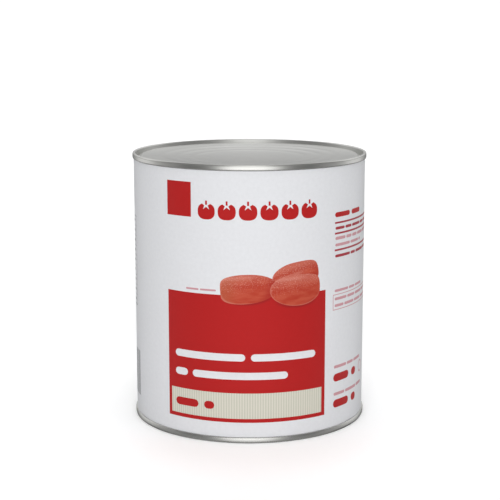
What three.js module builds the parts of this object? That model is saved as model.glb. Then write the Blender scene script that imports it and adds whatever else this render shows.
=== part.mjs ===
// A shut three-piece steel food tin with a wrapped paper label, in millimetres.
// +Z is up, the origin is the middle of the circle it stands on, and the label's front faces -Y.

import * as THREE from "three";

// Driving dimensions of the whole tin
const SEAM_DIAMETER = 102.4;
const TIN_HEIGHT = 116.9;
const LABEL_DIAMETER = 101.3;
const FITTING_GAP = 0.3;
const SIDES_ROUND = 60;
const ARC_STEP = Math.PI / 6;

// Double seam, where the edge of the end plate is rolled round the flange of the body
const SEAM_HEIGHT = 2.45;
const SEAM_THICKNESS = 1.4;
const CREST_ROUNDING = 0.5;
const CURL_ROUNDING = 0.8;

// Pressed end plate, with depths measured from the crest of its seam
const CHUCK_WALL_LEAN = 0.5;
const GROOVE_DEPTH = 2.8;
const GROOVE_WIDTH = 1.2;
const PANEL_DEPTH = 1.5;
const PANEL_WALL_LEAN = 0.2;
const PANEL_ROUNDING = 0.5;
const PLATE_UNDER_GROOVE = 0.5;

// Rings pressed into the panel, so that it can flex when the tin is heated
const RING_RADII = [38.3, 31.5, 24.7];
const RING_HALF_WIDTH = 2.4;
const RING_HEIGHT = 0.2;
const RING_STEPS = 4;

// Paper label, glued where one end laps over the other
const LABEL_THICKNESS = 0.35;
const LAP_RISE = 0.2;
const LAP_WIDTH = 14;
const LAP_EDGE_ANGLE = (8 / 15) * Math.PI;

const seamRadius = SEAM_DIAMETER / 2;
const labelRadius = LABEL_DIAMETER / 2;
const labelInnerRadius = labelRadius - LABEL_THICKNESS;
const bodyRadius = labelInnerRadius - FITTING_GAP;
const plateDepth = GROOVE_DEPTH + PLATE_UNDER_GROOVE;

// Points of a circular arc from one angle to another, both ends included.
function arc(centreX, centreY, radius, fromAngle, toAngle) {
  const steps = Math.round(Math.abs(toAngle - fromAngle) / ARC_STEP);
  const points = [];
  for (let i = 0; i <= steps; i++) {
    const angle = fromAngle + ((toAngle - fromAngle) * i) / steps;
    points.push(new THREE.Vector2(centreX + radius * Math.cos(angle), centreY + radius * Math.sin(angle)));
  }
  return points;
}

// One pressed ring across its width, from its outer foot inwards: a rounded ridge that stands on the panel.
function pressedRing(ringRadius) {
  const points = [];
  for (let i = 0; i <= RING_STEPS; i++) {
    const across = 1 - (2 * i) / RING_STEPS;
    const rise = (RING_HEIGHT / 2) * (1 + Math.cos(Math.PI * across));
    points.push(new THREE.Vector2(ringRadius + across * RING_HALF_WIDTH, rise - PANEL_DEPTH));
  }
  return points;
}

// Section of an end plate from the middle of its underside, round the seam, to the middle of its panel.
// Its height is 0 on the crest of the seam and falls towards the middle of the tin.
function endPlateProfile() {
  const quarter = Math.PI / 2;
  const chuckWall = seamRadius - SEAM_THICKNESS;
  const grooveEdge = chuckWall - CHUCK_WALL_LEAN;
  const grooveRounding = GROOVE_WIDTH / 2;
  const panelEdge = grooveEdge - GROOVE_WIDTH - PANEL_WALL_LEAN;
  return [
    new THREE.Vector2(0, -plateDepth),
    new THREE.Vector2(bodyRadius, -plateDepth),
    new THREE.Vector2(bodyRadius, -SEAM_HEIGHT),
    ...arc(seamRadius - CURL_ROUNDING, CURL_ROUNDING - SEAM_HEIGHT, CURL_ROUNDING, -quarter, 0),
    ...arc(seamRadius - CREST_ROUNDING, -CREST_ROUNDING, CREST_ROUNDING, 0, quarter),
    ...arc(chuckWall + CREST_ROUNDING, -CREST_ROUNDING, CREST_ROUNDING, quarter, 2 * quarter),
    ...arc(grooveEdge - grooveRounding, grooveRounding - GROOVE_DEPTH, grooveRounding, 0, -2 * quarter),
    ...arc(panelEdge - PANEL_ROUNDING, -PANEL_DEPTH - PANEL_ROUNDING, PANEL_ROUNDING, 0, quarter),
    ...RING_RADII.flatMap(pressedRing),
    new THREE.Vector2(0, -PANEL_DEPTH),
  ];
}

// Turns a section about the tin's axis.
function turned(profile) {
  return new THREE.LatheGeometry(profile, SIDES_ROUND).rotateX(Math.PI / 2);
}

function tinplate() {
  return new THREE.MeshStandardMaterial({ color: "#b5b5b3", roughness: 0.3, metalness: 1 });
}

function coatedPaper() {
  return new THREE.MeshStandardMaterial({ color: "#e6e7e9", roughness: 0.55, metalness: 0 });
}

// The tin is shut and full, so its body is solid between the two end plates.
function makeBody() {
  const low = plateDepth + FITTING_GAP;
  const high = TIN_HEIGHT - low;
  const profile = [
    new THREE.Vector2(0, low),
    new THREE.Vector2(bodyRadius, low),
    new THREE.Vector2(bodyRadius, high),
    new THREE.Vector2(0, high),
  ];
  const body = new THREE.Mesh(turned(profile), tinplate());
  body.name = "can_body";
  return body;
}

function makeTopEnd() {
  const end = new THREE.Mesh(turned(endPlateProfile()), tinplate());
  end.name = "top_end";
  end.position.z = TIN_HEIGHT;
  return end;
}

// The same pressing as the top, turned over. The tin stands on the flat of its crest.
function makeBottomEnd() {
  const end = new THREE.Mesh(turned(endPlateProfile()), tinplate());
  end.name = "bottom_end";
  end.rotation.x = Math.PI;
  return end;
}

// How far the label stands out after a share of the turn from its lower end: at last it climbs over that end.
function lapRise(turn) {
  const lapTurn = LAP_WIDTH / (2 * Math.PI * labelRadius);
  const climb = Math.max(0, 1 + (turn - 1) / lapTurn);
  return LAP_RISE * Math.sin((climb * Math.PI) / 2);
}

// One sheet of paper round the body. Its upper end stops in a square edge at the back.
function makeLabel() {
  const outline = new THREE.Shape();
  for (let i = 0; i <= SIDES_ROUND; i++) {
    const turn = i / SIDES_ROUND;
    const angle = LAP_EDGE_ANGLE + 2 * Math.PI * turn;
    const radius = labelRadius + lapRise(turn);
    const point = [radius * Math.cos(angle), radius * Math.sin(angle)];
    if (i === 0) {
      outline.moveTo(...point);
    } else {
      outline.lineTo(...point);
    }
  }
  outline.closePath();
  outline.holes.push(new THREE.Path().absarc(0, 0, labelInnerRadius, 0, 2 * Math.PI, true));
  const foot = SEAM_HEIGHT + FITTING_GAP;
  const sheet = new THREE.ExtrudeGeometry(outline, {
    depth: TIN_HEIGHT - 2 * foot,
    bevelEnabled: false,
    curveSegments: SIDES_ROUND,
  });
  const label = new THREE.Mesh(sheet, coatedPaper());
  label.name = "paper_label";
  label.position.z = foot;
  return label;
}

const tin = new THREE.Group();
tin.add(makeBody(), makeTopEnd(), makeBottomEnd(), makeLabel());

export default tin;
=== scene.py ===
"""A shut, full food tin of peeled tomatoes: tinplate body and ends, and a printed paper label."""

import random
from math import copysign, cos, pi, radians, sin

import bpy
from mathutils import Matrix, Vector
from mathutils.geometry import delaunay_2d_cdt


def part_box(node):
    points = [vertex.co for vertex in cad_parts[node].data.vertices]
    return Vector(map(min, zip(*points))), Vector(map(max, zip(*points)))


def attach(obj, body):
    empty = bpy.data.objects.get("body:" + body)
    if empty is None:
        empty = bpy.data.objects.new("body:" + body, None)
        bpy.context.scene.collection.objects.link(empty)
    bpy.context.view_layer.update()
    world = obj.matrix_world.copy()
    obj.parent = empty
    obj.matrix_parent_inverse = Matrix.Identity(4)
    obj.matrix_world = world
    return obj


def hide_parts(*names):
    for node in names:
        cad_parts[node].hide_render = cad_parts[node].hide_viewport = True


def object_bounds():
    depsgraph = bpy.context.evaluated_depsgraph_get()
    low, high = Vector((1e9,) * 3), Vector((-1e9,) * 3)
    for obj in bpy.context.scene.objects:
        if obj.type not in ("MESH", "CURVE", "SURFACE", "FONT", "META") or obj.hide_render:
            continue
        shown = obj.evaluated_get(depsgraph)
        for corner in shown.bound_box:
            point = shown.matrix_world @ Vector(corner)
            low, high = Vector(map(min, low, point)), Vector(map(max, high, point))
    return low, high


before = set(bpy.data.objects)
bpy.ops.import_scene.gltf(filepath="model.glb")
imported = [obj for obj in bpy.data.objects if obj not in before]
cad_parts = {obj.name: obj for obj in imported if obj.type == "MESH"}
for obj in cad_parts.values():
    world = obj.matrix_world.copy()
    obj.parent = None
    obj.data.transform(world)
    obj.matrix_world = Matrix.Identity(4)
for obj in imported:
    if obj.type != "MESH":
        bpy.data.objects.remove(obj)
cad_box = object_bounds()

# Tin body
# A sheet of tinplate rolled into a tube, welded down its side and flanged at both rims. The tin is shut and
# full, so the drum is closed inside. The label and the rolled seams of the ends hide all but a hairline.

MM = 0.001
SIDES_ROUND = 192
SHARPEST_BEND = radians(40)
SEAM_HEIGHT = 2.45
END_PLUG_RADIUS = 50.0
BODY_RADIUS = 50.42
SLIP_FIT = 0.05
BRIGHT_TIN = "#c7c7c4"
SMUDGED_TIN = "#bdbdb9"
ROLLED_ROUGHNESS = 0.24
# The lines that the rolls leave are a few hundredths of a millimetre apart, and are drawn coarser to show.
ROLLING_GRAIN = 0.3
GRAIN_STRETCH = 30
GRAIN_DEPTH = 0.004
GRAIN_STRENGTH = 0.1
GRAIN_DETAIL = 3
SMUDGE_SIZE = 16
SMUDGE_DETAIL = 4
SMUDGE_FROM, SMUDGE_TO = 0.3, 0.7
SMUDGE_DULLS, WIPED_CLEARS = 0.04, 0.02
ZONE_EDGE = 0.3

tin_low = cad_box[0].z / MM
tin_high = cad_box[1].z / MM
drum_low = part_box("can_body")[0].z / MM
drum_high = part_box("can_body")[1].z / MM
rim_low = tin_low + SEAM_HEIGHT + SLIP_FIT
rim_high = tin_high - SEAM_HEIGHT - SLIP_FIT
rim_inside = END_PLUG_RADIUS + SLIP_FIT


def turned(name, section):
    """A closed solid of revolution, from a section in mm that starts and ends on the axis."""
    points = []
    rings = []
    for radius, height in section:
        count = SIDES_ROUND if radius > 0 else 1
        rings.append(range(len(points), len(points) + count))
        for k in range(count):
            angle = 2 * pi * k / SIDES_ROUND
            points.append((radius * cos(angle) * MM, radius * sin(angle) * MM, height * MM))
    faces = []
    for low, high in zip(rings, rings[1:]):
        for k in range(SIDES_ROUND):
            around = (low, k), (low, k + 1), (high, k + 1), (high, k)
            corners = [ring[step % len(ring)] for ring, step in around]
            faces.append(list(dict.fromkeys(corners)))
    mesh = bpy.data.meshes.new(name)
    mesh.from_pydata(points, [], faces)
    mesh.shade_smooth()
    mesh.set_sharp_from_angle(angle=SHARPEST_BEND)
    piece = bpy.data.objects.new(name, mesh)
    bpy.context.scene.collection.objects.link(piece)
    return piece


def linear(hex_colour):
    """The linear RGBA of an sRGB hex colour."""
    parts = [int(hex_colour[i:i + 2], 16) / 255 for i in (1, 3, 5)]
    return [p / 12.92 if p <= 0.04045 else ((p + 0.055) / 1.055) ** 2.4 for p in parts] + [1]


def node(tree, kind, inputs, **settings):
    """Adds a node to a tree. Each input is a plain value, or the output of another node, which is linked."""
    made = tree.nodes.new(kind)
    for name, value in settings.items():
        setattr(made, name, value)
    for name, value in inputs.items():
        if isinstance(value, bpy.types.NodeSocket):
            tree.links.new(value, made.inputs[name])
        else:
            made.inputs[name].default_value = value
    return made


def tinplate(name, roughness, worked=()):
    """Steel sheet coated with tin that was melted bright after rolling: a cool white mirror, dulled by the
    straight grain of the rolls and by faint smudges from handling. Worked lists where tools have rubbed it:
    how far out from the axis each such zone starts, and its roughness."""
    made = bpy.data.materials.new(name)
    made.use_nodes = True
    tree = made.node_tree
    shader = tree.nodes["Principled BSDF"]
    place = node(tree, "ShaderNodeTexCoord", {}).outputs["Object"]
    drawn_out = node(tree, "ShaderNodeMapping", {"Vector": place, "Scale": (1 / GRAIN_STRETCH, 1, 1)})
    grain = node(tree, "ShaderNodeTexNoise", {
        "Vector": drawn_out.outputs[0], "Scale": 1 / (ROLLING_GRAIN * MM), "Detail": GRAIN_DETAIL,
    })
    smudge = node(tree, "ShaderNodeTexNoise", {
        "Vector": place, "Scale": 1 / (SMUDGE_SIZE * MM), "Detail": SMUDGE_DETAIL,
    })
    tone = node(tree, "ShaderNodeMix", {
        "Factor": smudge.outputs["Fac"], "A": linear(SMUDGED_TIN), "B": linear(BRIGHT_TIN),
    }, data_type="RGBA")
    dulled = node(tree, "ShaderNodeMapRange", {
        "Value": smudge.outputs["Fac"], "From Min": SMUDGE_FROM, "From Max": SMUDGE_TO,
        "To Min": roughness + SMUDGE_DULLS, "To Max": roughness - WIPED_CLEARS,
    }).outputs[0]
    if worked:
        flat = node(tree, "ShaderNodeVectorMath", {0: place, 1: (1, 1, 0)}, operation="MULTIPLY").outputs[0]
        out = node(tree, "ShaderNodeVectorMath", {0: flat}, operation="LENGTH").outputs["Value"]
    for zone_start, zone_roughness in worked:
        dulled = node(tree, "ShaderNodeMapRange", {
            "Value": out, "From Min": (zone_start - ZONE_EDGE) * MM, "From Max": zone_start * MM,
            "To Min": dulled, "To Max": zone_roughness,
        }).outputs[0]
    bump = node(tree, "ShaderNodeBump", {
        "Height": grain.outputs["Fac"], "Strength": GRAIN_STRENGTH, "Distance": GRAIN_DEPTH * MM,
    })
    tree.links.new(tone.outputs["Result"], shader.inputs["Base Color"])
    tree.links.new(dulled, shader.inputs["Roughness"])
    tree.links.new(bump.outputs[0], shader.inputs["Normal"])
    shader.inputs["Metallic"].default_value = 1
    return made


body = turned("tin_body", [
    (0, drum_low), (rim_inside, drum_low), (rim_inside, rim_low), (BODY_RADIUS, rim_low),
    (BODY_RADIUS, rim_high), (rim_inside, rim_high), (rim_inside, drum_high), (0, drum_high),
])
body.data.materials.append(tinplate("rolled_tinplate", ROLLED_ROUGHNESS))
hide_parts("can_body")
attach(body, "root")

# End plates
# Each end is one disc of tinplate, pressed with shallow rings that let it flex in the cooker. A deep groove
# runs round inside its rim, and the rim is rolled twice with the flange of the body into the double seam.

CREST_ROUNDING = 0.5
SEAM_THICKNESS = 1.4
CURL_BULGE = 0.8
# The lower each squareness is, the squarer that side of the seam is rolled.
CREST_SQUARENESS = 0.62
CURL_SQUARENESS = 0.43
SEAM_STEPS = 28
ARC_STEPS = 9
CHUCK_WALL_LEAN = 0.5
GROOVE_DEPTH = 2.8
GROOVE_WIDTH = 1.2
PANEL_WALL_LEAN = 0.3
PANEL_ROUNDING = 0.7
PANEL_DEPTH = 1.25
PANEL_DISH = 1.6
PANEL_STEPS = 96
RING_RADII = 38.3, 31.5, 24.7
RING_HALF_WIDTH = 2.4
RING_HEIGHT = 0.07
PRESSED_ROUGHNESS = 0.22
CHUCKED_ROUGHNESS = 0.31

seam_radius = cad_box[1].x / MM
chuck_wall = seam_radius - SEAM_THICKNESS
plug_depth = (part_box("top_end")[1].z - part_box("top_end")[0].z) / MM


def arc(centre_radius, centre_height, rounding, start, stop):
    """Points of a rounded corner, between two angles."""
    angles = [start + (stop - start) * k / ARC_STEPS for k in range(ARC_STEPS + 1)]
    return [(centre_radius + rounding * cos(a), centre_height + rounding * sin(a)) for a in angles]


def seam_wall():
    """The outside of the double seam, from its lower curl up to its crest: a wall rolled slightly convex."""
    points = []
    for k in range(SEAM_STEPS + 1):
        angle = pi * (k / SEAM_STEPS - 0.5)
        squareness = CREST_SQUARENESS if angle > 0 else CURL_SQUARENESS
        out = abs(cos(angle)) ** squareness
        up = copysign(abs(sin(angle)) ** squareness, angle)
        points.append((seam_radius - CURL_BULGE + CURL_BULGE * out, SEAM_HEIGHT / 2 * (up - 1)))
    return points


def panel_height(radius, edge):
    """Height of the panel below the crest: a shallow dish, drawn in by the vacuum, with pressed rings."""
    height = -PANEL_DEPTH - PANEL_DISH * (1 - (radius / edge) ** 2)
    for ring_radius in RING_RADII:
        across = abs(radius - ring_radius) / RING_HALF_WIDTH
        if across < 1:
            height += RING_HEIGHT * (1 + cos(pi * across)) / 2
    return height


def end_section():
    """Section of an end plate, with height 0 on the crest of its seam, from under the plug to the middle."""
    groove_edge = chuck_wall - CHUCK_WALL_LEAN
    groove_rounding = GROOVE_WIDTH / 2
    flat_edge = groove_edge - GROOVE_WIDTH - PANEL_WALL_LEAN - PANEL_ROUNDING
    panel = [flat_edge * (1 - k / PANEL_STEPS) for k in range(1, PANEL_STEPS + 1)]
    return [
        (0, -plug_depth), (END_PLUG_RADIUS, -plug_depth), (END_PLUG_RADIUS, -SEAM_HEIGHT),
        *seam_wall(),
        *arc(chuck_wall + CREST_ROUNDING, -CREST_ROUNDING, CREST_ROUNDING, pi / 2, pi),
        *arc(groove_edge - groove_rounding, groove_rounding - GROOVE_DEPTH, groove_rounding, 0, -pi),
        *arc(flat_edge, -PANEL_DEPTH - PANEL_ROUNDING, PANEL_ROUNDING, 0, pi / 2),
        *((radius, panel_height(radius, flat_edge)) for radius in panel),
    ]


# The press leaves the panel smooth. The chuck that holds the end while its seam is rolled rubs the groove.
pressed = tinplate("pressed_tinplate", PRESSED_ROUGHNESS, (
    (chuck_wall - CHUCK_WALL_LEAN - GROOVE_WIDTH, CHUCKED_ROUGHNESS),
    (chuck_wall + CREST_ROUNDING / 2, ROLLED_ROUGHNESS),
))
placings = {
    "top_end": Matrix.Translation((0, 0, tin_high * MM)),
    "bottom_end": Matrix.Rotation(pi, 4, "X"),
}
for cad_node, placing in placings.items():
    end = turned("pressed_" + cad_node, end_section())
    end.data.transform(placing)
    end.data.materials.append(pressed)
    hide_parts(cad_node)
    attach(end, "root")

# Paper label
# One sheet of white coated paper, printed flat in red and cream, wrapped round the body and glued where its
# last 14 mm laps over its first at the back. The sheet is cut a hair shorter than the gap between the seams.
# Places on it are in mm: across from the middle of the front, and up from what the tin stands on.

PAPER_THICKNESS = 0.18
LAP_WIDTH = 14
LAP_RISE = 0.2
LAP_CLIMB = 2.5
LAP_EDGE_TURN = 186 / 360
SEAM_CLEARANCE = 0.05
COLUMN_WIDTH = 2
WORD_GAP = 0.75
SMALL_WORDS = 4, 11
SMALL_GAP = 0.6
BAR_END_STEPS = 6
PLUM_STEPS = 56
STAR_POINTS = 5
PRINT_SEED = 7

label_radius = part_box("paper_label")[1].x / MM
sheet_low = tin_low + SEAM_HEIGHT + SEAM_CLEARANCE
sheet_high = tin_high - SEAM_HEIGHT - SEAM_CLEARANCE
round_length = 2 * pi * label_radius
sheet_right = LAP_EDGE_TURN * round_length
sheet_left = sheet_right - round_length - LAP_WIDTH
prints = []
chance = random.Random(PRINT_SEED)


def printed(ink, outline, motif=None):
    """Lays an outline over what is on the flat sheet. A shaded shape also has its own motif: the centre,
    half sizes and tilt of the space that its shading is worked out in."""
    prints.append((ink, outline, motif))


def rectangle(left, right, low, high):
    return [(left, low), (right, low), (right, high), (left, high)]


def bar(left, right, height, thick):
    """A bar with rounded ends."""
    half = thick / 2
    turns = [pi * (k / BAR_END_STEPS - 0.5) for k in range(BAR_END_STEPS + 1)]
    right_end = [(right - half + half * cos(a), height + half * sin(a)) for a in turns]
    left_end = [(left + half - half * cos(a), height - half * sin(a)) for a in turns]
    return right_end + left_end


def plum(across, up, half_length, half_height, tilt=0, taper=0, squareness=0.8, corner=0, fullness=0):
    """The outline of a plum tomato: a full oval, narrower towards its right end by the share in taper, and
    fuller towards the angle of its corner."""
    points = []
    for k in range(PLUM_STEPS):
        angle = 2 * pi * k / PLUM_STEPS
        blunt = squareness - fullness * max(cos(angle - corner), 0) ** 2
        u = half_length * copysign(abs(cos(angle)) ** blunt, cos(angle))
        v = half_height * copysign(abs(sin(angle)) ** blunt, sin(angle)) * (1 - taper * cos(angle))
        points.append((across + u * cos(tilt) - v * sin(tilt), up + u * sin(tilt) + v * cos(tilt)))
    return points


def star(across, up, reach, waist):
    """A star, with one of its points straight up."""
    outs = [waist if k % 2 else reach for k in range(2 * STAR_POINTS)]
    turns = [pi * (0.5 + k / STAR_POINTS) for k in range(2 * STAR_POINTS)]
    return [(across + out * cos(turn), up + out * sin(turn)) for out, turn in zip(outs, turns)]


def words(ink, left, height, thick, lengths):
    """One line of plain bars as long as words. The gap between them is a share of their thickness."""
    for length in lengths:
        printed(ink, bar(left, left + length, height, thick))
        left += length + thick * WORD_GAP


def small_print(ink, left, right, height, thick):
    """A line of small print, as plain bars of uneven length."""
    while left + thick < right:
        length = min(chance.uniform(*SMALL_WORDS), right - left)
        printed(ink, bar(left, left + length, height, thick))
        left += length + SMALL_GAP


# The front: a red field with a cream band let into it, a plain red tile above, and bars for lines of print.
# Areas are left, right, low and high. Lines are height, thickness and the lengths of their bars.
FIELD = -37.2, 34.4, 8.85, 63.2
BAND = -35.6, 32.6, 10.5, 21.5
TILE = -37.2, -24.9, 94.9, 109.3
PRINT_LEFT = -33.3
TITLE_LINES = (36.8, 3.1, (31.6, 28.6)), (28.9, 3.1, (6.3, 41))
BAND_LINE = 15.8, 3.4, (11.3, 4.6)
CAPTION_LEFT, CAPTION = -27.6, (64.9, 0.8, (6, 7.1))

printed("red", rectangle(*FIELD))
printed("cream", rectangle(*BAND))
printed("red", rectangle(*TILE))
for title_line in TITLE_LINES:
    words("white", PRINT_LEFT, *title_line)
words("red", PRINT_LEFT, *BAND_LINE)
words("pale_red", CAPTION_LEFT, *CAPTION)

# A row of small plain tomatoes beside the tile, each with white leaves and a red stalk.
ROW_LEFT, ROW_HEIGHT, ROW_PITCH, ROW_COUNT = -18.0, 97.6, 8.74, 6
FRUIT_HALF_WIDTH, FRUIT_HALF_HEIGHT = 3.75, 3.35
LEAVES_DROP, LEAVES_REACH, LEAVES_WAIST = 0.65, 2.3, 0.8
STALK_HALF_WIDTH, STALK_RISE = 0.4, 1.1

for k in range(ROW_COUNT):
    across = ROW_LEFT + ROW_PITCH * k
    top = ROW_HEIGHT + FRUIT_HALF_HEIGHT
    printed("red", plum(across, ROW_HEIGHT, FRUIT_HALF_WIDTH, FRUIT_HALF_HEIGHT))
    printed("white", star(across, top - LEAVES_DROP, LEAVES_REACH, LEAVES_WAIST))
    printed("red", rectangle(
        across - STALK_HALF_WIDTH, across + STALK_HALF_WIDTH, top - LEAVES_DROP, top + STALK_RISE,
    ))

# Three peeled plum tomatoes that lie on the top edge of the field, with soft shadows on the red under them.
TOMATOES = {
    # Ink: centre, half sizes, tilt, taper, squareness, the angle that it is fullest at, how much fuller.
    "tomato_behind": (20.0, 70.6, 10.6, 5.8, radians(7), -0.06, 0.95, radians(42), 0.36),
    "tomato_left": (-0.3, 65.8, 11.9, 6.1, radians(4), 0.13, 0.86, radians(180), 0.28),
    "tomato_right": (19.9, 64.7, 11.4, 6.6, radians(-1), -0.04, 0.95, radians(45), 0.42),
}
SHADOW_DROP, SHADOW_LENGTH, SHADOW_HEIGHT = 0.66, 0.93, 0.55

for ink, (across, up, half_length, half_height, tilt, *_) in TOMATOES.items():
    if ink != "tomato_behind":
        shadow = (across, up - half_height * SHADOW_DROP, half_length * SHADOW_LENGTH,
                  half_height * SHADOW_HEIGHT, tilt)
        printed("shaded_red", plum(*shadow), shadow)
for ink, form in TOMATOES.items():
    printed(ink, plum(*form), form[:5])

# Right of the front: a heading, ruled lines of small print, a thin box, and two bold lines with a ring.
SIDE_LEFT, SIDE_RIGHT, SIDE_INSET = 39.6, 98, 0.3
SIDE_HEADING = 94.2, 2.1, (10.6, 8.8)
SIDE_RULES, RULE = (90.8, 86.3, 79.2), 0.8
SIDE_BOX, BOX_LINE = (38.8, 98, 53.5, 60.3), 0.35
SIDE_PRINT = (
    # Ink, right end, height and thickness of each line.
    ("dark_red", 97, 88.5, 1.2), ("pale_red", 95, 84.2, 1.3), ("pale_red", 62, 81.4, 1.2),
    ("dark_red", 88, 76.7, 1.2), ("pale_red", 64, 61.8, 1.1), ("pale_red", 94, 58.3, 1.2),
    ("pale_red", 78, 55.4, 1.2), ("pale_red", 64, 28.6, 1.3), ("pale_red", 66, 16.6, 1.3),
)
BOLD_LINES, BOLD_THICK, BOLD_WORDS = (23.8, 12.3), 3.5, (11.2, 4.5)
RING, RING_LINE = (64.7, 23.8, 2.6, 2.8), 0.6

words("red", SIDE_LEFT, *SIDE_HEADING)
for height in SIDE_RULES:
    printed("dark_red", rectangle(SIDE_LEFT, SIDE_RIGHT, height - RULE / 2, height + RULE / 2))


def thin_box(ink, left, right, low, high, line):
    printed(ink, rectangle(left, right, low, high))
    printed("white", rectangle(left + line, right - line, low + line, high - line))


thin_box("pale_red", *SIDE_BOX, BOX_LINE)
for ink, right, *line in SIDE_PRINT:
    small_print(ink, SIDE_LEFT + SIDE_INSET, right, *line)
for height in BOLD_LINES:
    words("red", SIDE_LEFT, height, BOLD_THICK, BOLD_WORDS)
printed("pale_red", plum(*RING, squareness=1))
printed("white", plum(RING[0], RING[1], RING[2] - RING_LINE, RING[3] - RING_LINE, squareness=1))

# Left of the front: a ruled table in a thin box, with a block of plain upright stripes under it. The table's
# columns are measured from its left edge.
TABLE, TABLE_LINE, TABLE_ROWS = (-112.5, -66.5, 50.5, 90), 0.3, 9
TABLE_HEADING = 93.2, 1.5, (10, 13)
TABLE_COLUMNS, TABLE_PRINT = ((2, 30), (38, 43)), 0.9
ROW_RULE, ROW_RULE_INSET = 0.2, 1
STRIPES = -93, -62.5, 10.5, 30.8
STRIPE_WIDTHS, STRIPE_GAPS = (0.5, 0.9, 1.3), (0.5, 0.9)

thin_box("grey", *TABLE, TABLE_LINE)
words("red", TABLE[0], *TABLE_HEADING)
row_height = (TABLE[3] - TABLE[2]) / TABLE_ROWS
for row in range(TABLE_ROWS):
    middle = TABLE[3] - row_height * (row + 0.5)
    for start, stop in TABLE_COLUMNS:
        small_print("grey", TABLE[0] + start, TABLE[0] + stop, middle, TABLE_PRINT)
    if row:
        edge = middle + row_height / 2
        printed("grey", rectangle(
            TABLE[0] + ROW_RULE_INSET, TABLE[1] - ROW_RULE_INSET, edge - ROW_RULE / 2, edge + ROW_RULE / 2,
        ))
at = STRIPES[0]
while at < STRIPES[1]:
    stripe = chance.choice(STRIPE_WIDTHS)
    printed("grey", rectangle(at, at + stripe, STRIPES[2], STRIPES[3]))
    at += stripe + chance.choice(STRIPE_GAPS)

# The back: two blocks of small print left of the glued edge, under a plain heading. Each block is the height
# of its top line and how many lines it has, and all its lines but the last end unevenly.
BACK_LEFT, BACK_RIGHT, BACK_PITCH, BACK_PRINT = 108, 150, 3, 1
BACK_HEADING = 93.6, 1.6, (12, 8)
BACK_BLOCKS = (88, 12), (42, 6)
UNEVEN_BY, LAST_SHORT_BY = 16, 22

words("red", BACK_LEFT, *BACK_HEADING)
for top, lines in BACK_BLOCKS:
    for line in range(lines):
        short_by = UNEVEN_BY * chance.random() if line < lines - 1 else LAST_SHORT_BY
        small_print("pale_red", BACK_LEFT, BACK_RIGHT - short_by, top - BACK_PITCH * line, BACK_PRINT)

# The flat sheet is cut into faces along every printed edge and every column, and each face takes its ink.
KEEP_ALL_FACES = 0
JOIN_WITHIN = 1e-4

prints.insert(0, ("white", rectangle(sheet_left, sheet_right, sheet_low, sheet_high), None))
corners = []
outlines = []
for _, outline, _ in prints:
    outlines.append(list(range(len(corners), len(corners) + len(outline))))
    corners.extend(Vector(point) for point in outline)
column_count = round((sheet_right - sheet_left) / COLUMN_WIDTH)
columns = []
for k in range(1, column_count):
    across = sheet_left + (sheet_right - sheet_left) * k / column_count
    columns.append((len(corners), len(corners) + 1))
    corners.extend((Vector((across, sheet_low)), Vector((across, sheet_high))))
flat_points, _, flat_faces, _, _, outlines_of = delaunay_2d_cdt(
    corners, columns, outlines, KEEP_ALL_FACES, JOIN_WITHIN, True,
)


def lap_rise(across):
    """How far the sheet stands out, where its last stretch has climbed over its first."""
    climb = (across - (sheet_right - LAP_WIDTH - LAP_CLIMB)) / LAP_CLIMB
    climb = min(max(climb, 0), 1)
    return LAP_RISE * climb * climb * (3 - 2 * climb)


def wrapped(point, depth):
    """Where a point of the flat sheet lies on the tin, at a depth below the printed side."""
    angle = point.x / label_radius
    radius = label_radius + lap_rise(point.x) - depth
    return Vector((radius * sin(angle), -radius * cos(angle), point.y)) * MM


count = len(flat_points)
outer_faces = [list(face) for face in flat_faces]
inner_faces = [[i + count for i in reversed(face)] for face in outer_faces]
edges = {edge for face in outer_faces for edge in zip(face, face[1:] + face[:1])}
cut_faces = [[b, a, a + count, b + count] for a, b in sorted(edges) if (b, a) not in edges]
mesh = bpy.data.meshes.new("printed_label")
mesh.from_pydata(
    [wrapped(p, 0) for p in flat_points] + [wrapped(p, PAPER_THICKNESS) for p in flat_points],
    [], outer_faces + inner_faces + cut_faces,
)

# Three maps: places on the print in mm, places inside a shaded motif, and the flat sheet as a whole, with
# its printed side in the upper part and its plain side in a strip below.
PRINTED_SIDE_FROM, PLAIN_SIDE_TO = 0.1, 0.08
INKS = ["white", "red", "cream", "dark_red", "pale_red", "grey", "shaded_red", *TOMATOES]
print_map = mesh.uv_layers.new(name="print")
motif_map = mesh.uv_layers.new(name="motif")
sheet_map = mesh.uv_layers.new(name="OFBake")
normals = []
for face in mesh.polygons:
    outer = face.index < len(outer_faces)
    cut = face.index >= len(outer_faces) + len(inner_faces)
    ink, _, motif = prints[max(outlines_of[face.index]) if outer else 0]
    face.material_index = INKS.index(ink)
    for loop in face.loop_indices:
        flat = flat_points[mesh.loops[loop].vertex_index % count]
        print_map.uv[loop].vector = flat
        if motif:
            across, up, half_length, half_height, tilt = motif
            x, y = flat.x - across, flat.y - up
            u = (x * cos(tilt) + y * sin(tilt)) / half_length
            v = (y * cos(tilt) - x * sin(tilt)) / half_height
            motif_map.uv[loop].vector = u, v
        share = (flat.y - sheet_low) / (sheet_high - sheet_low)
        height = PRINTED_SIDE_FROM + (1 - PRINTED_SIDE_FROM) * share if outer else PLAIN_SIDE_TO * share
        sheet_map.uv[loop].vector = (flat.x - sheet_left) / (sheet_right - sheet_left), height
        turn = flat.x / label_radius
        outward = Vector((sin(turn), -cos(turn), 0))
        normals.append(face.normal.copy() if cut else outward if outer else -outward)
mesh.shade_smooth()
mesh.normals_split_custom_set(normals)

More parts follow.
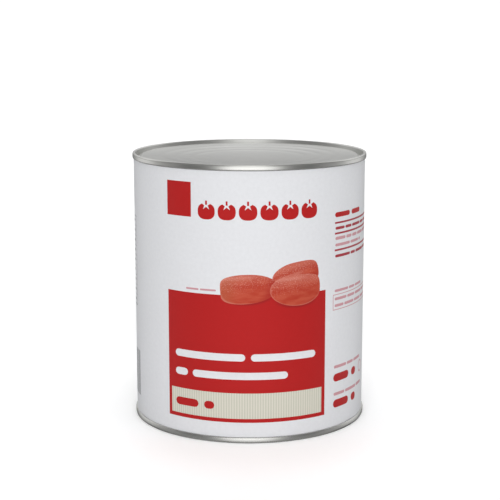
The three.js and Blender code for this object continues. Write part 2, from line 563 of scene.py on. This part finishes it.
PAPER_WHITE = "#d9dadd"
FIELD_RED = "#ab0b0b"
SHADED_RED = "#8e0c0e"
BAND_CREAM = "#d0cdc1"
BAND_STRIPE = "#bebdae"
DARK_RED = "#9e2c36"
PALE_RED = "#c39096"
TABLE_GREY = "#77797c"
TOMATO_FLESH = "#b64932"
TOMATO_WARM = "#ab321c"
TOMATO_DEEP = "#9b1a11"
TOMATO_PALE = "#c97e6e"
TOMATO_BROWN = "#ac4f32"
TOMATO_GLINT = "#d89e8f"
PINSTRIPE_PITCH = 1.1
PINSTRIPE_SOFTNESS = 0.4
SHADOW_FADES_FROM = 0.6
# Paper fibres are a few hundredths of a millimetre thick, so they are drawn coarser to show.
FIBRE_SIZE = 0.35
FIBRE_DEPTH = 0.02
FIBRE_STRENGTH = 0.05
FIBRE_DETAIL = 2
INK_MOTTLE = 1.5
INK_UNEVEN = 0.05
MOTTLE_DETAIL = 5
LABEL_ROUGHNESS = 0.55
LABEL_IOR = 1.38


def coated_paper(name, colour_for):
    """Clay-coated label paper, offset printed and sealed: a smooth matt sheet with a trace of its fibres.
    The inks lie in the coating, so they share its dull sheen and differ only in colour."""
    made = bpy.data.materials.new(name)
    made.use_nodes = True
    tree = made.node_tree
    shader = tree.nodes["Principled BSDF"]
    place = node(tree, "ShaderNodeUVMap", {}, uv_map="print").outputs[0]
    fibres = node(tree, "ShaderNodeTexNoise", {
        "Vector": place, "Scale": 1 / FIBRE_SIZE, "Detail": FIBRE_DETAIL,
    })
    bump = node(tree, "ShaderNodeBump", {
        "Height": fibres.outputs["Fac"], "Strength": FIBRE_STRENGTH, "Distance": FIBRE_DEPTH * MM,
    })
    tree.links.new(colour_for(tree, place), shader.inputs["Base Color"])
    tree.links.new(bump.outputs[0], shader.inputs["Normal"])
    shader.inputs["Roughness"].default_value = LABEL_ROUGHNESS
    shader.inputs["IOR"].default_value = LABEL_IOR
    return made


def solid_ink(hex_colour):
    """A solid ink, a little uneven as it sinks into the coating."""
    def colour(tree, place):
        mottle = node(tree, "ShaderNodeTexNoise", {
            "Vector": place, "Scale": 1 / INK_MOTTLE, "Detail": MOTTLE_DETAIL,
        })
        thin = [min(1, channel * (1 + INK_UNEVEN)) for channel in linear(hex_colour)]
        full = [channel * (1 - INK_UNEVEN) for channel in linear(hex_colour)]
        return node(tree, "ShaderNodeMix", {
            "Factor": mottle.outputs["Fac"], "A": thin, "B": full,
        }, data_type="RGBA").outputs["Result"]
    return colour


def pinstriped(tree, place):
    """A cream tint with fine upright stripes of a greyer cream."""
    across = node(tree, "ShaderNodeSeparateXYZ", {"Vector": place}).outputs["X"]
    turns = node(tree, "ShaderNodeMath", {0: across, 1: 2 * pi / PINSTRIPE_PITCH}, operation="MULTIPLY")
    wave = node(tree, "ShaderNodeMath", {0: turns.outputs[0]}, operation="SINE").outputs[0]
    stripe = node(tree, "ShaderNodeMapRange", {
        "Value": wave, "From Min": -PINSTRIPE_SOFTNESS, "From Max": PINSTRIPE_SOFTNESS,
    }, interpolation_type="SMOOTHSTEP").outputs[0]
    return node(tree, "ShaderNodeMix", {
        "Factor": stripe, "A": linear(BAND_CREAM), "B": linear(BAND_STRIPE),
    }, data_type="RGBA").outputs["Result"]


def shaded_red(tree, place):
    """The red of the field, darkened by a soft oval shadow."""
    inside = node(tree, "ShaderNodeUVMap", {}, uv_map="motif").outputs[0]
    reach = node(tree, "ShaderNodeVectorMath", {0: inside}, operation="LENGTH").outputs["Value"]
    clear = node(tree, "ShaderNodeMapRange", {
        "Value": reach, "From Min": SHADOW_FADES_FROM,
    }, interpolation_type="SMOOTHSTEP").outputs[0]
    return node(tree, "ShaderNodeMix", {
        "Factor": clear, "A": linear(SHADED_RED), "B": linear(FIELD_RED),
    }, data_type="RGBA").outputs["Result"]


# What the flesh is shaded by: grains, as their size in mm, stretch and detail, and ways across its outline.
FLESH_GRAINS = {"streaks": (2.2, 3.5, 4), "flecks": (0.38, 1.4, 2)}
FLESH_WAYS = {
    "end": (-1, 0.1), "ridge_end": (-1, 0), "top": (-0.15, 1), "rim_light": (-0.75, -0.65),
    "wet": (-0.3, 0.9),
}


def peeled_tomato(deep_way, bloom, ridge_height, ridge_slope, fullness=2.1, brown=0):
    """A printed peeled plum tomato: soft flesh, streaked along its length and flecked with wet light, deeper
    red towards one side and paler over its top and along a ridge, with a thin pale line round its rim. Its
    fullness is how far that line goes into its corners."""
    def colour(tree, place):
        inside = node(tree, "ShaderNodeUVMap", {}, uv_map="motif").outputs[0]
        found = {}
        for name, (size, stretch, detail) in FLESH_GRAINS.items():
            scale = 1 / size / stretch, 1 / size, 1
            drawn = node(tree, "ShaderNodeMapping", {"Vector": place, "Scale": scale}).outputs[0]
            grain = node(tree, "ShaderNodeTexNoise", {"Vector": drawn, "Scale": 1, "Detail": detail})
            found[name] = grain.outputs["Fac"]
        ways = {**FLESH_WAYS, "deep": deep_way, "over_ridge": (-ridge_slope, 1)}
        for name, way in ways.items():
            along = node(tree, "ShaderNodeVectorMath", {0: inside, 1: (*way, 0)}, operation="DOT_PRODUCT")
            found[name] = along.outputs["Value"]
        above = node(tree, "ShaderNodeMath", {0: found["over_ridge"], 1: ridge_height}, operation="SUBTRACT")
        apart = node(tree, "ShaderNodeMath", {0: above.outputs[0]}, operation="ABSOLUTE")
        found["off_ridge"] = apart.outputs[0]
        quarter = node(tree, "ShaderNodeVectorMath", {0: inside}, operation="ABSOLUTE").outputs[0]
        sides = node(tree, "ShaderNodeSeparateXYZ", {"Vector": quarter}).outputs
        out, up = (
            node(tree, "ShaderNodeMath", {0: sides[axis], 1: fullness}, operation="POWER").outputs[0]
            for axis in ("X", "Y")
        )
        found["reach"] = node(tree, "ShaderNodeMath", {0: out, 1: up}, operation="ADD").outputs[0]
        layers = (
            # Tint, its strength, and what it follows: each from nothing at one value to full at another.
            (TOMATO_FLESH, 1, ("streaks", 0.35, 0.65)),
            (TOMATO_BROWN, brown, ("end", 0.25, 0.85)),
            (TOMATO_DEEP, 0.85, ("deep", 0.4, 1)),
            (TOMATO_PALE, bloom, ("top", 0, 0.95)),
            (TOMATO_PALE, 0.55, ("off_ridge", 0.2, 0), ("ridge_end", -0.5, 0.1)),
            (TOMATO_PALE, 0.48, ("reach", 0.84, 1), ("rim_light", -1.2, 0.6)),
            (TOMATO_GLINT, 0.55, ("flecks", 0.54, 0.66), ("wet", -0.5, 0.7)),
        )
        flesh = linear(TOMATO_WARM)
        for tint, amount, *follows in layers:
            for name, none_at, full_at in follows:
                amount = node(tree, "ShaderNodeMapRange", {
                    "Value": found[name], "From Min": none_at, "From Max": full_at, "To Max": amount,
                }, interpolation_type="SMOOTHSTEP").outputs[0]
            flesh = node(tree, "ShaderNodeMix", {
                "Factor": amount, "A": flesh, "B": linear(tint),
            }, data_type="RGBA").outputs["Result"]
        return flesh
    return colour


finishes = {
    "white": solid_ink(PAPER_WHITE),
    "red": solid_ink(FIELD_RED),
    "cream": pinstriped,
    "dark_red": solid_ink(DARK_RED),
    "pale_red": solid_ink(PALE_RED),
    "grey": solid_ink(TABLE_GREY),
    "shaded_red": shaded_red,
    "tomato_behind": peeled_tomato((0.7, -0.6), bloom=0.35, ridge_height=0.15, ridge_slope=0.3),
    "tomato_left": peeled_tomato(
        (1, -0.2), bloom=0.25, ridge_height=0.8, ridge_slope=0, fullness=2.8, brown=0.7,
    ),
    "tomato_right": peeled_tomato((0.3, -0.5), bloom=0.4, ridge_height=0.75, ridge_slope=0.1),
}
for ink in INKS:
    mesh.materials.append(coated_paper("coated_paper_" + ink, finishes[ink]))
label = bpy.data.objects.new("printed_label", mesh)
bpy.context.scene.collection.objects.link(label)
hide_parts("paper_label")
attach(label, "root")

# Studio
# The tin stands on a wide matt white floor. Three broad lamps light the paper and the floor and aren't
# mirrored. The bare metal mirrors soft bands painted round the studio instead: a tall bright box in front,
# dark flats at both sides and a pale sweep behind.

FLOOR_SIZE = 300
FLOOR_WHITE = "#fbfbfb"
FLOOR_ROUGHNESS = 1
BRIGHTEST = 2.5
FEATHER = 7
STRAIGHT_DOWN = 0.3
BANDS = {
    # Each band of height round the tin: its lower edge, and its light at degrees either side of the front.
    "floor": (-60, (
        (0, 0.6), (12, 0.55), (30, 0.4), (90, 0.35), (120, 0.16), (180, 0.12),
    )),
    "middle": (-19, (
        (0, 2.1), (14, 2.05), (24, 1.45), (34, 0.5), (45, 0.27), (62, 0.22), (75, 0.38), (90, 0.5),
        (102, 0.65), (114, 1.05), (134, 1.0), (146, 0.5), (160, 0.2), (180, 0.25),
    )),
    "low": (2, (
        (0, 1.35), (14, 1.25), (24, 0.9), (34, 0.45), (45, 0.27), (62, 0.22), (75, 0.35), (90, 0.4),
        (102, 0.45), (114, 0.55), (137, 0.55), (160, 0.5), (180, 0.45),
    )),
    "sweep": (13, (
        (0, 1.15), (14, 1.1), (24, 0.7), (38, 0.45), (60, 0.42), (90, 0.4), (106, 0.6), (116, 1.4),
        (126, 1.4), (136, 1.05), (155, 1.05), (180, 1.1),
    )),
    "high": (30, (
        (0, 2.4), (16, 2.1), (30, 0.4), (60, 0.15), (106, 0.15), (116, 1.4), (126, 1.4), (145, 0.9),
        (180, 0.5),
    )),
    "ceiling": (50, (
        (0, 1.3), (30, 0.4), (180, 0.4),
    )),
    "zenith": (70, (
        (0, 0.9), (180, 0.9),
    )),
}
LAMPS = {
    # Lamp: strength, degrees across, turned from the front by degrees, degrees above the floor.
    "overhead": (2.2, 50, 0, 90),
    "front": (1.91, 40, 0, 28),
    "back": (0.6, 50, 180, 35),
}
CAMERA_DISTANCE = 0.586
CAMERA_HEIGHT = 0.1831
CAMERA_ASIDE = 0.00026
CAMERA_PITCH = radians(10.674)
FOCAL_PIXELS = 1339.6
PICTURE_PIXELS = 500
SENSOR = 36

floor_mesh = bpy.data.meshes.new("floor")
reach = FLOOR_SIZE / 2
floor_corners = [(-reach, -reach, 0), (reach, -reach, 0), (reach, reach, 0), (-reach, reach, 0)]
floor_mesh.from_pydata(floor_corners, [], [(0, 1, 2, 3)])
floor = bpy.data.objects.new("floor", floor_mesh)
bpy.context.scene.collection.objects.link(floor)
floor_paint = bpy.data.materials.new("matt_white_floor")
floor_paint.use_nodes = True
floor_shader = floor_paint.node_tree.nodes["Principled BSDF"]
floor_shader.inputs["Base Color"].default_value = linear(FLOOR_WHITE)
floor_shader.inputs["Roughness"].default_value = FLOOR_ROUGHNESS
floor_mesh.materials.append(floor_paint)
floor.visible_glossy = False

world = bpy.data.worlds.new("studio")
bpy.context.scene.world = world
world.use_nodes = True
tree = world.node_tree
way = node(tree, "ShaderNodeSeparateXYZ", {
    "Vector": node(tree, "ShaderNodeTexCoord", {}).outputs["Generated"],
}).outputs
ahead = node(tree, "ShaderNodeMath", {0: way["Y"], 1: -1}, operation="MULTIPLY").outputs[0]
turn = node(tree, "ShaderNodeMath", {0: way["X"], 1: ahead}, operation="ARCTAN2").outputs[0]
either_side = node(tree, "ShaderNodeMath", {0: turn}, operation="ABSOLUTE").outputs[0]
share = node(tree, "ShaderNodeMath", {0: either_side, 1: pi}, operation="DIVIDE").outputs[0]
lit = STRAIGHT_DOWN
for lower_edge, lights in BANDS.values():
    around = node(tree, "ShaderNodeValToRGB", {"Fac": share})
    stops = around.color_ramp.elements
    stops.remove(stops[1])
    for degrees_round, light in lights:
        stop = stops.new(degrees_round / 180) if degrees_round else stops[0]
        stop.color = (light / BRIGHTEST, light / BRIGHTEST, light / BRIGHTEST, 1)
    band = node(tree, "ShaderNodeMath", {0: around.outputs["Color"], 1: BRIGHTEST}, operation="MULTIPLY")
    reached = node(tree, "ShaderNodeMapRange", {
        "Value": way["Z"], "From Min": sin(radians(lower_edge - FEATHER)),
        "From Max": sin(radians(lower_edge + FEATHER)),
    }, interpolation_type="SMOOTHSTEP")
    lit = node(tree, "ShaderNodeMix", {
        "Factor": reached.outputs[0], "A": lit, "B": band.outputs[0],
    }, data_type="FLOAT").outputs[0]
tree.links.new(lit, tree.nodes["Background"].inputs["Strength"])
tree.nodes["Background"].inputs["Color"].default_value = (1, 1, 1, 1)
world.cycles_visibility.diffuse = False

for name, (strength, spread, around, elevation) in LAMPS.items():
    lamp = bpy.data.lights.new(name, "SUN")
    lamp.energy = strength
    lamp.angle = radians(spread)
    lamp_stand = bpy.data.objects.new(name, lamp)
    lamp_stand.rotation_euler = (radians(90 - elevation), 0, radians(around))
    lamp_stand.visible_glossy = False
    bpy.context.scene.collection.objects.link(lamp_stand)

camera = bpy.data.cameras.new("camera")
camera.sensor_width = SENSOR
camera.lens = FOCAL_PIXELS * SENSOR / PICTURE_PIXELS
camera_stand = bpy.data.objects.new("camera", camera)
camera_stand.location = (CAMERA_ASIDE, -CAMERA_DISTANCE, CAMERA_HEIGHT)
camera_stand.rotation_euler = (pi / 2 - CAMERA_PITCH, 0, 0)
bpy.context.scene.collection.objects.link(camera_stand)
bpy.context.scene.camera = camera_stand
bpy.context.scene.view_settings.view_transform = "Standard"
